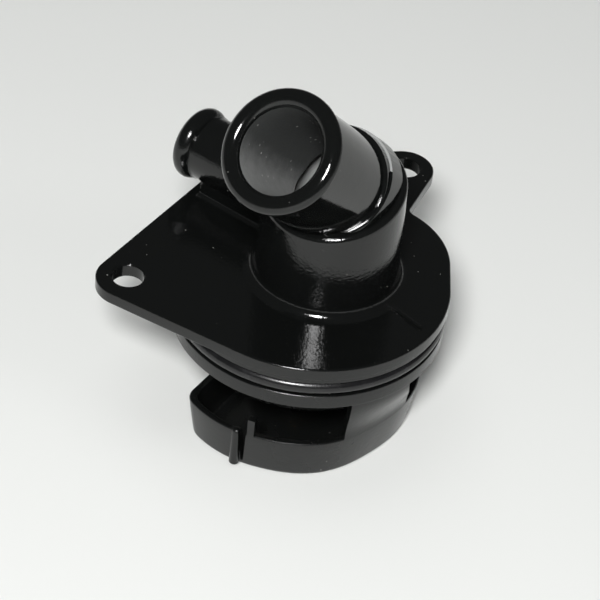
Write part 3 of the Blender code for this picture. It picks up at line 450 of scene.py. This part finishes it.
# Cover plate, neck, side nipple: one moulding
def tangentAngle(first, second):
    gap = Vector((second[0] - first[0], second[1] - first[1]))
    lean = math.acos((first[2] - second[2]) / gap.length)
    return (math.degrees(math.atan2(gap.y, gap.x) - lean) + 180) % 360 - 180


def plateOutline():
    disc = (0.2, 0.0, 35.3)
    swell = (10.9, 10.2, 24.2)
    rightEar = (21.7, 49.4, 7.7)
    backCorner = (-19.2, 37.8, 9.0)
    leftEar = (-45.7, -8.0, 8.1)
    start = tangentAngle(leftEar, disc)
    side = tangentAngle(disc, swell)
    back = tangentAngle(rightEar, backCorner)
    left = tangentAngle(backCorner, leftEar)
    points = arc(*disc, start, side, 130) + arc(*swell, side, 54.6, 44)
    points += arc(26.38, 31.96, 2.5, 234.6, 160.6, 14)[1:] + arc(*rightEar, -19.4, back, 46)
    points += arc(*backCorner, back, left, 18) + arc(*leftEar, left, start + 360, 40)
    return points


def leaningRing(radius, rise, slope, azimuth):
    out = []
    for p in circle((0, 0), radius, 0):
        along = p.x * math.cos(math.radians(azimuth)) + p.y * math.sin(math.radians(azimuth))
        out.append(Vector((knee.x + p.x, knee.y + p.y, knee.z + rise - slope * along)))
    return out


coverShape = {"earUnder": 34.6, "padUnder": 33.4, "padRadius": 35.0, "edge": 0.5, "neck": 17.5, "flare": 1.0,
              "fillet": 3.2, "bore": 14.0, "boreLow": 32.5, "boreReach": 12.0, "padRound": 0.4,
              "spigot": ((29.1, 27.7), (29.5, 28.1)), "groove": (29.5, 31.4),
              "chamber": ((26.0, 26.7), (26.0, 27.7), (25.5, 28.2), (25.5, 34.5)),
              "topRise": 0.3, "topSlope": 0.244, "topRound": 1.4, "topProud": 0.15,
              "tubeAzimuth": -126.3, "tubeElevation": 44.3, "holes": ((-45.6, -7.9), (21.7, 49.8)),
              "hole": 4.1, "holeEdge": ((0.0, 32.0), (0.0, 37.9), (0.35, 38.22), (0.35, 40.0))}


def buildCover():
    s = coverShape
    outline = plateOutline()
    steps = quarter(5)
    rings = [lift(inset(outline, s["edge"] * (1 - math.sin(b))),
                  s["earUnder"] + s["edge"] * (1 - math.cos(b)))
             for b in steps]
    rings += [lift(inset(outline, s["edge"] * (1 - math.sin(b))), plateTop - s["edge"] * (1 - math.cos(b)))
              for b in reversed(steps)]
    cover = stack("coverMoulding", rings)
    step, wall = s["groove"]
    turn = s["padRound"]
    under = [*s["spigot"], (step, step), (wall, step), (wall, s["padUnder"])]
    under += [(s["padRadius"] - turn + turn * math.sin(b), s["padUnder"] + turn * (1 - math.cos(b)))
              for b in steps]
    join(cover, lathe("underside", under + [(s["padRadius"], s["earUnder"] + 1.5)]))
    middle = (knee.x, knee.y)
    foot = s["neck"] + s["flare"]
    rings = [circle(middle, foot + s["fillet"], plateTop - 2.0)]
    for b in quarter(13):
        rings.append(circle(middle, foot + s["fillet"] * (1 - math.sin(b)),
                            plateTop - 0.05 + s["fillet"] * (1 - math.cos(b))))
    for b in quarter(9):
        rings.append(leaningRing(s["neck"] + s["topProud"] - s["topRound"] * (1 - math.cos(b)),
                                 s["topRise"] - s["topRound"] * (1 - math.sin(b)),
                                 s["topSlope"], s["tubeAzimuth"]))
    join(cover, stack("neck", rings))
    return cover


nippleShape = {"base": Vector((-32.7, 35.7, 49.0)), "azimuth": 147.0, "radius": 8.6, "bead": 9.7,
               "round": 2.8, "bore": 6.0, "run": 46.0, "half": 6.0, "front": -5.5, "topDrop": 3.0,
               "flares": ((-1.0, 1.3), (0.0, 1.3), (0.12, 0.95), (0.4, 0.55), (0.8, 0.2), (1.3, 0.0)),
               "waist": ((0.0, -3.7), (0.25, -3.1)), "beadFrom": -62, "beadSweep": 152,
               "mouth": ((0.0, 2.0), (0.15, 2.4), (0.6, 2.82), (0.6, 5.0))}


def addNipple(cover):
    s = nippleShape
    pose = poseAlong(s["base"], s["azimuth"], 0.0)
    way = Vector((*polar(1.0, s["azimuth"]), 0.0))
    side = Vector((-way.y, way.x, 0.0))
    base = Vector((s["base"].x, s["base"].y, 0.0))
    rings = []
    levels = [(plateTop + rise, flare) for rise, flare in s["flares"]]
    for height, flare in levels + [(s["base"].z - s["topDrop"], 0.0)]:
        near = s["front"] + flare * 0.5
        half = s["half"] + flare
        ends = ((near, half), (-s["run"], half), (-s["run"], -half), (near, -half))
        rings.append([base + way * a + side * b + Vector((0, 0, height)) for a, b in ends])
    join(cover, stack("pedestal", rings))
    profile = [(s["radius"], -s["run"])] + [(s["radius"] + out, z) for out, z in s["waist"]]
    for k in range(19):
        bend = math.radians(s["beadFrom"] + s["beadSweep"] * k / 18)
        profile.append((s["bead"] - s["round"] * (1 - math.cos(bend)), s["round"] * math.sin(bend)))
    join(cover, lathe("nipple", profile, pose=pose, count=120))


ribShape = {"start": Vector((19.0, -6.9, 0.0)), "end": Vector((28.4, -15.4, 0.0)), "half": 0.5,
            "section": ((-1.0, 1.0), (0.4, 1.0), (0.65, 0.85), (0.75, 0.5))}


def addRib(cover):
    start, end = ribShape["start"], ribShape["end"]
    run = (end - start).normalized()
    across = Vector((-run.y, run.x, 0.0)) * ribShape["half"]
    rings = []
    for rise, share in ribShape["section"]:
        corners = (start - across * share, end - across * share, end + across * share, start + across * share)
        rings.append([p + Vector((0, 0, plateTop + rise)) for p in corners])
    join(cover, stack("rib", rings))


def finishCover(cover):
    s = coverShape
    n = nippleShape
    cut(cover, lathe("chamber", list(s["chamber"])))
    ends = (s["boreLow"], knee.z + s["boreReach"])
    cut(cover, lathe("bore", [(s["bore"], z) for z in ends], centre=(knee.x, knee.y)))
    bore = [(n["bore"], -n["run"] - 2.0)] + [(n["bore"] + out, z) for out, z in n["mouth"]]
    cut(cover, lathe("outflow", bore, pose=poseAlong(n["base"], n["azimuth"], 0.0), count=96))
    for centre in s["holes"]:
        edge = [(s["hole"] + out, z) for out, z in s["holeEdge"]]
        cut(cover, lathe("hole", edge, centre=centre, count=72))
    shade(cover)
    cover.data.materials.clear()
    cover.data.materials.append(coverPlastic)
    cover.data.materials.append(paintedLitNeckSkin)
    # Faces of the neck's bore take the paler copy, which is painted light
    for face in cover.data.polygons:
        spot = face.center * 1000 - shift
        off = math.hypot(spot.x - knee.x, spot.y - knee.y)
        face.material_index = 1 if off < s["bore"] + 0.1 and spot.z > s["earUnder"] else 0
    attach(cover, "housing")
    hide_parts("cover")


cover = buildCover()
addNipple(cover)
addRib(cover)
finishCover(cover)
print("cover made")

# Outlet tube with its bead, collar and foot
tubeShape = {"length": 35.0, "radius": 14.35, "mouth": 10.7, "root": 9.1, "bead": 15.55, "lip": 13.1,
             "lipRise": 2.3, "collar": 15.1, "collarTop": 4.0, "collarRound": 0.75, "limit": 15.65,
             "foot": 16.3, "footRise": 4.6, "footSlope": 0.6, "footRound": 1.0, "gap": 0.3, "taper": 0.3,
             "taperEnd": 18.0, "swell": ((0.0, 2.4), (0.08, 1.9), (0.35, 1.3), (0.8, 0.7)),
             "throat": (0.6, 1.2), "hollow": 13.2, "hollowTop": 1.0, "hollowReach": 30.0, "span": 34.0,
             "cutWide": 40.0, "cutDeep": 60.0}


def buildTube():
    s = tubeShape
    c = coverShape
    pose = poseAlong(knee, c["tubeAzimuth"], c["tubeElevation"])
    lip = (s["lip"], s["length"] - s["lipRise"])
    slim = s["radius"] - s["taper"]
    profile = [(slim, -2.0), (slim, 0.0), (s["radius"], s["taperEnd"])]
    profile += [(s["radius"] + out, lip[1] - back) for out, back in s["swell"]]
    profile += [(lip[0] + (s["bead"] - lip[0]) * math.cos(b), lip[1] + s["lipRise"] * math.sin(b))
                for b in quarter(11)]
    tube = lathe("outletTube", profile, pose=pose)
    turn = s["collarRound"]
    collar = [(s["collar"] - 0.4, -0.3), (s["collar"], 0.1), (s["collar"], s["collarTop"] - turn)]
    for b in quarter(6):
        collar.append((s["collar"] - turn * (1 - math.cos(b)), s["collarTop"] - turn * (1 - math.sin(b))))
    join(tube, lathe("collar", collar, pose=pose))
    low = c["topRise"] + s["gap"]
    rings = [leaningRing(s["foot"] - 0.25, low - 3.0, c["topSlope"], c["tubeAzimuth"])]
    turn = s["footRound"]
    for b in quarter(5):
        rings.append(leaningRing(s["foot"] - turn * (1 - math.cos(b)),
                                 s["footRise"] - turn * (1 - math.sin(b)),
                                 s["footSlope"], c["tubeAzimuth"]))
    foot = stack("foot", rings)
    limit = [(s["limit"], -s["span"]), (s["limit"], s["span"])]
    combine(foot, lathe("limit", limit, pose=pose), "INTERSECT")
    join(tube, foot)
    below = stack("below", [circle((knee.x, knee.y), s["cutWide"], knee.z - s["cutDeep"]),
                            leaningRing(s["cutWide"], low, c["topSlope"], c["tubeAzimuth"])])
    cut(tube, below)
    bore = [(s["root"], z) for z in s["throat"]]
    for b in quarter(11):
        bore.append((lip[0] - (lip[0] - s["mouth"]) * math.cos(b),
                     lip[1] + s["lipRise"] * math.sin(b) + 0.004))
    cut(tube, lathe("bore", bore + [(lip[0], s["length"] + 3.0)], pose=pose))
    ends = (knee.z - s["hollowReach"], knee.z + s["hollowReach"])
    hollow = lathe("hollow", [(c["bore"], z) for z in ends], centre=(knee.x, knee.y))
    limit = [(s["hollow"], -s["span"]), (s["hollow"], s["hollowTop"])]
    combine(hollow, lathe("limit", limit, pose=pose), "INTERSECT")
    cut(tube, hollow)
    shade(tube)
    tube.data.materials.clear()
    tube.data.materials.append(tubePlastic)
    tube.data.materials.append(boreSkin)
    back = pose.inverted()
    for face in tube.data.polygons:
        spot = back @ (face.center * 1000 - shift)
        deep = math.hypot(spot.x, spot.y) < s["mouth"] + 0.25 and spot.z < lip[1] + 0.3
        upright = math.hypot(face.center.x * 1000 - shift.x - knee.x, face.center.y * 1000 - shift.y - knee.y)
        face.material_index = 1 if deep or (upright < c["bore"] + 0.1 and spot.z < 1.5) else 0
    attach(tube, "housing")
    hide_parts("outlet_tube")


buildTube()
print("outlet tube made")

# O-ring
sealShape = {"radius": 33.4, "section": 1.85, "z": 31.3}


def buildSeal():
    s = sealShape
    profile = []
    for k in range(28):
        angle = 2 * math.pi * k / 28
        profile.append((s["radius"] + s["section"] * math.cos(angle),
                        s["z"] + s["section"] * math.sin(angle)))
    seal = ringOf("sealRing", profile, 240)
    shade(seal, 80.0)
    seal.data.materials.append(ringRubber)
    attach(seal, "housing")
    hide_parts("o_ring")


buildSeal()
print("seal ring made")

# Cup-shaped lower body with its band, windows and scoop
bodyShape = {"band": 35.0, "bandTop": 29.2, "bandLow": 25.2, "cup": 12.0, "wall": 1.9, "floor": 2.0,
             "draft": 1.3, "inner": 29.8, "ledge": 25.2, "ledgeTop": 23.5, "ledgeLow": 21.3,
             "port": 6.2, "chord": 61.0, "reach": 14.45, "pull": 3.2,
             "panels": ((-67.0, -38.0, 11.0), (20.0, 104.0, 0.0)),
             "panelWall": 2.3, "overlap": 2.5, "tuck": 1.2, "post": (-109.5, -106.5), "postTop": 17.0,
             "notch": (-113.2, -109.8), "notchDepth": (30.0, 38.0), "notchLow": 1.6,
             "footRound": ((1.2, 0.0), (0.75, 0.06), (0.35, 0.32), (0.1, 0.75), (0.0, 1.2)),
             "side": ((0.95, 3.8), (0.6, 6.5), (0.25, 9.2), (0.0, 11.5)),
             "rim": ((0.06, 11.75), (0.22, 11.93), (0.5, 12.0)),
             "inside": ((-0.5, 12.0), (-0.2, 11.92), (0.0, 11.6), (1.1, 4.0), (1.35, 2.9), (1.8, 2.25)),
             "floorInset": 2.5, "beadAngle": -114.5, "bead": 1.3, "beadSunk": 0.7,
             "beadEnds": ((-0.3, 0.5), (0.0, 0.9), (0.0, 11.5), (-0.1, 11.95), (-0.4, 12.3), (-0.9, 12.45)),
             "angles": (-141, -128, -114, -103, -90, -80, -71, -60, -50, -42, 0, 90),
             "radii": (35.0, 35.2, 34.9, 34.4, 34.3, 34.0, 33.4, 32.2, 31.3, 31.0, 31.0, 31.0)}


def skirtRadius(angle):
    total = 0.0
    for k in range(-3, 4):
        total += blendTable(angle + k * 2.0, bodyShape["angles"], bodyShape["radii"])
    return total / 7


def curve(start, middle, end, count):
    return [start * (1 - k / (count - 1)) ** 2 + middle * 2 * k / (count - 1) * (1 - k / (count - 1))
            + end * (k / (count - 1)) ** 2 for k in range(count)]


def skirtOutline(depth):
    s = bodyShape
    way = polar(1.0, s["chord"])
    foot = Vector((-way.y, way.x)) * (s["reach"] - depth)
    low, high = s["angles"][0], s["angles"][-1]
    tip = foot - way * math.sqrt((skirtRadius(low) - depth) ** 2 - foot.length_squared)
    top = foot + way * math.sqrt((skirtRadius(high) - depth) ** 2 - foot.length_squared)
    start = math.degrees(math.atan2(tip.y, tip.x)) + math.degrees(s["pull"] / tip.length)
    end = math.degrees(math.atan2(top.y, top.x)) - math.degrees(s["pull"] / top.length)
    points = [polar(skirtRadius(start + (end - start) * k / 199) - depth, start + (end - start) * k / 199)
              for k in range(200)]
    first = points[0]
    upper = top - way * s["pull"]
    lower = tip + way * s["pull"]
    points += curve(points[-1], top, upper, 14)[1:]
    points += [upper.lerp(lower, k / 8) for k in range(1, 9)]
    points += curve(lower, tip, first, 18)[1:-1]
    return points


def panel(start, end, slant, low, high, wall):
    s = bodyShape
    count = max(6, round((end - start) / 1.2))
    section = []
    for k in range(25):
        height = low + (high - low) * k / 24
        share = min(1.0, max(0.0, (height - s["cup"]) / (s["bandLow"] - s["cup"])))
        section.append((height, share * share * (3 - 2 * share), 0.0))
    section += [(height, share, wall) for height, share, _ in reversed(section)]
    rings = []
    for k in range(count + 1):
        line = []
        for height, share, depth in section:
            angle = start + (end + slant * (1 - share) - start) * k / count
            inward = s["draft"] * max(0.0, 1 - height / s["cup"])
            radius = skirtRadius(angle) * (1 - share) + (s["band"] - 0.2) * share - inward - depth
            line.append(Vector((*polar(radius, angle), height)))
        rings.append(line)
    return stack("panel", rings)


def buildBody():
    s = bodyShape
    profile = [(s["band"] - 0.3, s["bandTop"]), (s["inner"] + 0.3, s["bandTop"]),
               (s["inner"], s["bandTop"] - 0.3), (s["inner"], s["ledgeTop"]), (s["ledge"], s["ledgeTop"]),
               (s["ledge"], s["ledgeLow"]), (s["band"] - 3.5, s["ledgeLow"]),
               (s["band"] - 1.5, s["bandLow"] - 0.3), (s["band"] - 0.35, s["bandLow"]),
               (s["band"] - 0.12, s["bandLow"] + 0.1), (s["band"], s["bandLow"] + 0.35),
               (s["band"], s["bandTop"] - 0.3), (s["band"] - 0.1, s["bandTop"] - 0.1)]
    body = ringOf("lowerBody", profile, 240)
    levels = [(s["draft"] + depth, height) for depth, height in s["footRound"]]
    levels += s["side"] + s["rim"]
    levels += [(s["wall"] + depth, height) for depth, height in s["inside"]]
    levels.append((s["wall"] + s["floorInset"], s["floor"]))
    join(body, stack("cup", [lift(skirtOutline(depth), height) for depth, height in levels]))
    root = s["cup"] - s["overlap"]
    for start, end, slant in s["panels"]:
        join(body, panel(start, end, slant, root, s["bandLow"] + s["tuck"], s["panelWall"]))
    join(body, panel(*s["post"], 0.0, root, s["postTop"], s["wall"]))
    middle = polar(skirtRadius(s["beadAngle"]) - s["beadSunk"], s["beadAngle"])
    ends = [(s["bead"] + out, height) for out, height in s["beadEnds"]]
    join(body, lathe("bead", ends, centre=middle, count=48))
    half = (s["notch"][1] - s["notch"][0]) / 2
    near, far = s["notchDepth"]
    rings = []
    for height, share in ((s["notchLow"], 0.3), (s["cup"] + 2.0, 1.1)):
        corners = ((near, -1), (far, -1), (far, 1), (near, 1))
        rings.append([Vector((*polar(r, s["notch"][0] + half + half * share * sign), height))
                      for r, sign in corners])
    cut(body, stack("notch", rings))
    cut(body, lathe("port", [(s["port"], -2.0), (s["port"], s["floor"] + 3.0)], count=96))
    shade(body)
    body.data.materials.clear()
    body.data.materials.append(bodyPlastic)
    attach(body, "housing")
    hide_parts("lower_body")


buildBody()
print("lower body made")

# The valve insert keeps its modelled shapes
insertLooks = {"rim_seal": sealRubber, "valve_flange": stampedSteel, "upper_bridge": stampedSteel,
               "piston_pin": groundSteel, "lower_frame": frameSteel, "main_spring": wireSteel,
               "main_valve_disc": discSteel, "wax_capsule": turnedBrass, "piston_guide": guideNylon,
               "valve_retainer": clipSteel, "bypass_disc": discSteel, "bypass_spring": wireSteel,
               "bypass_clip": clipSteel, "jiggle_pin": pinBrass}


insertSettings = {"weld": 0.00001, "split": 34}


def dressInsert():
    for name, look in insertLooks.items():
        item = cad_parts[name]
        for held in item.material_slots:
            held.material = look
        for face in item.data.polygons:
            face.use_smooth = True
        weld = item.modifiers.new("weld", "WELD")
        weld.merge_threshold = insertSettings["weld"]
        split = item.modifiers.new("split", "EDGE_SPLIT")
        split.split_angle = math.radians(insertSettings["split"])


dressInsert()
print("insert dressed")


# Camera at the photograph's angle
def placeCamera():
    settings = {"elevation": 40.5, "roll": 6.6, "offset": Vector((2.109, 0.806, 637.49)), "lens": 150.0}
    e = math.radians(settings["elevation"])
    s = math.sin(math.radians(settings["roll"]))
    c = math.cos(math.radians(settings["roll"]))
    right = Vector((c, s * math.sin(e), s * math.cos(e)))
    down = Vector((s, -c * math.sin(e), -c * math.cos(e)))
    ahead = Vector((0.0, math.cos(e), -math.sin(e)))
    o = settings["offset"]
    spot = Vector((0, 0, 29.2)) - right * o.x - down * o.y - ahead * o.z
    data = bpy.data.cameras.new("camera")
    data.lens = settings["lens"]
    data.sensor_width = 36.0
    data.clip_end = 20.0
    item = bpy.data.objects.new("camera", data)
    bpy.context.scene.collection.objects.link(item)
    turn = Matrix((right, -down, -ahead)).transposed().to_4x4()
    item.matrix_world = Matrix.Translation(toWorld(spot)) @ turn
    bpy.context.scene.camera = item
    return spot


# Soft studio: a small lamp in front for the highlights, broad lights from above and the side
def areaLight(name, spot, target, size, power):
    data = bpy.data.lights.new(name, "AREA")
    data.shape = "DISK"
    data.size = size
    data.energy = power
    item = bpy.data.objects.new(name, data)
    bpy.context.scene.collection.objects.link(item)
    way = (Vector(target) - Vector(spot)).normalized()
    item.rotation_mode = "QUATERNION"
    item.rotation_quaternion = way.to_track_quat("-Z", "Y")
    item.location = Vector(spot)
    return item


stageSettings = {"heart": (0, 0, 35), "azimuth": -97, "elevation": 46.3, "distance": 1.3, "lampSize": 0.3,
                 "lampPower": 20.0, "top": ((-0.35, 0.6, 2.0), 1.6, 6.5),
                 "side": ((1.6, -0.6, 1.4), 0.9, 3.0), "floorWidth": 6.0, "pale": (0.80, 0.81, 0.79),
                 "dim": (0.06, 0.062, 0.062), "horizon": (0.02, 0.09)}


def buildStage():
    s = stageSettings
    heart = toWorld(s["heart"])
    rise = math.radians(s["elevation"])
    way = Vector((*polar(math.cos(rise), s["azimuth"]), math.sin(rise)))
    areaLight("lensLamp", heart + way * s["distance"], heart, s["lampSize"], s["lampPower"])
    for name in ("top", "side"):
        offset, size, power = s[name]
        light = areaLight(name + "Light", heart + Vector(offset), heart, size, power)
        light.visible_glossy = False
    mesh = bpy.data.meshes.new("floor")
    wide = s["floorWidth"]
    corners = [(-wide, -wide, 0), (wide, -wide, 0), (wide, wide, 0), (-wide, wide, 0)]
    mesh.from_pydata(corners, [], [(0, 1, 2, 3)])
    floor = bpy.data.objects.new("floor", mesh)
    bpy.context.scene.collection.objects.link(floor)
    made, _, shader = startMaterial("paleFloor")
    shader.inputs["Base Color"].default_value = (*s["pale"], 1)
    shader.inputs["Roughness"].default_value = 0.6
    shader.inputs["Specular IOR Level"].default_value = 0.2
    mesh.materials.append(made)
    buildWorld()
    bpy.context.scene.view_settings.view_transform = "Standard"


# A lit backdrop low around the horizon, dim above it, the same for every kind of ray
def buildWorld():
    world = bpy.data.worlds.new("studio")
    bpy.context.scene.world = world
    world.use_nodes = True
    tree = world.node_tree
    split = node(tree, "ShaderNodeSeparateXYZ")
    link(tree, node(tree, "ShaderNodeTexCoord").outputs["Generated"], split.inputs[0])
    height = ramp(tree, split.outputs["Z"], *stageSettings["horizon"])
    link(tree, mixColour(tree, height, stageSettings["pale"], stageSettings["dim"]),
         tree.nodes["Background"].inputs["Color"])


placeCamera()
buildStage()
print("stage set")
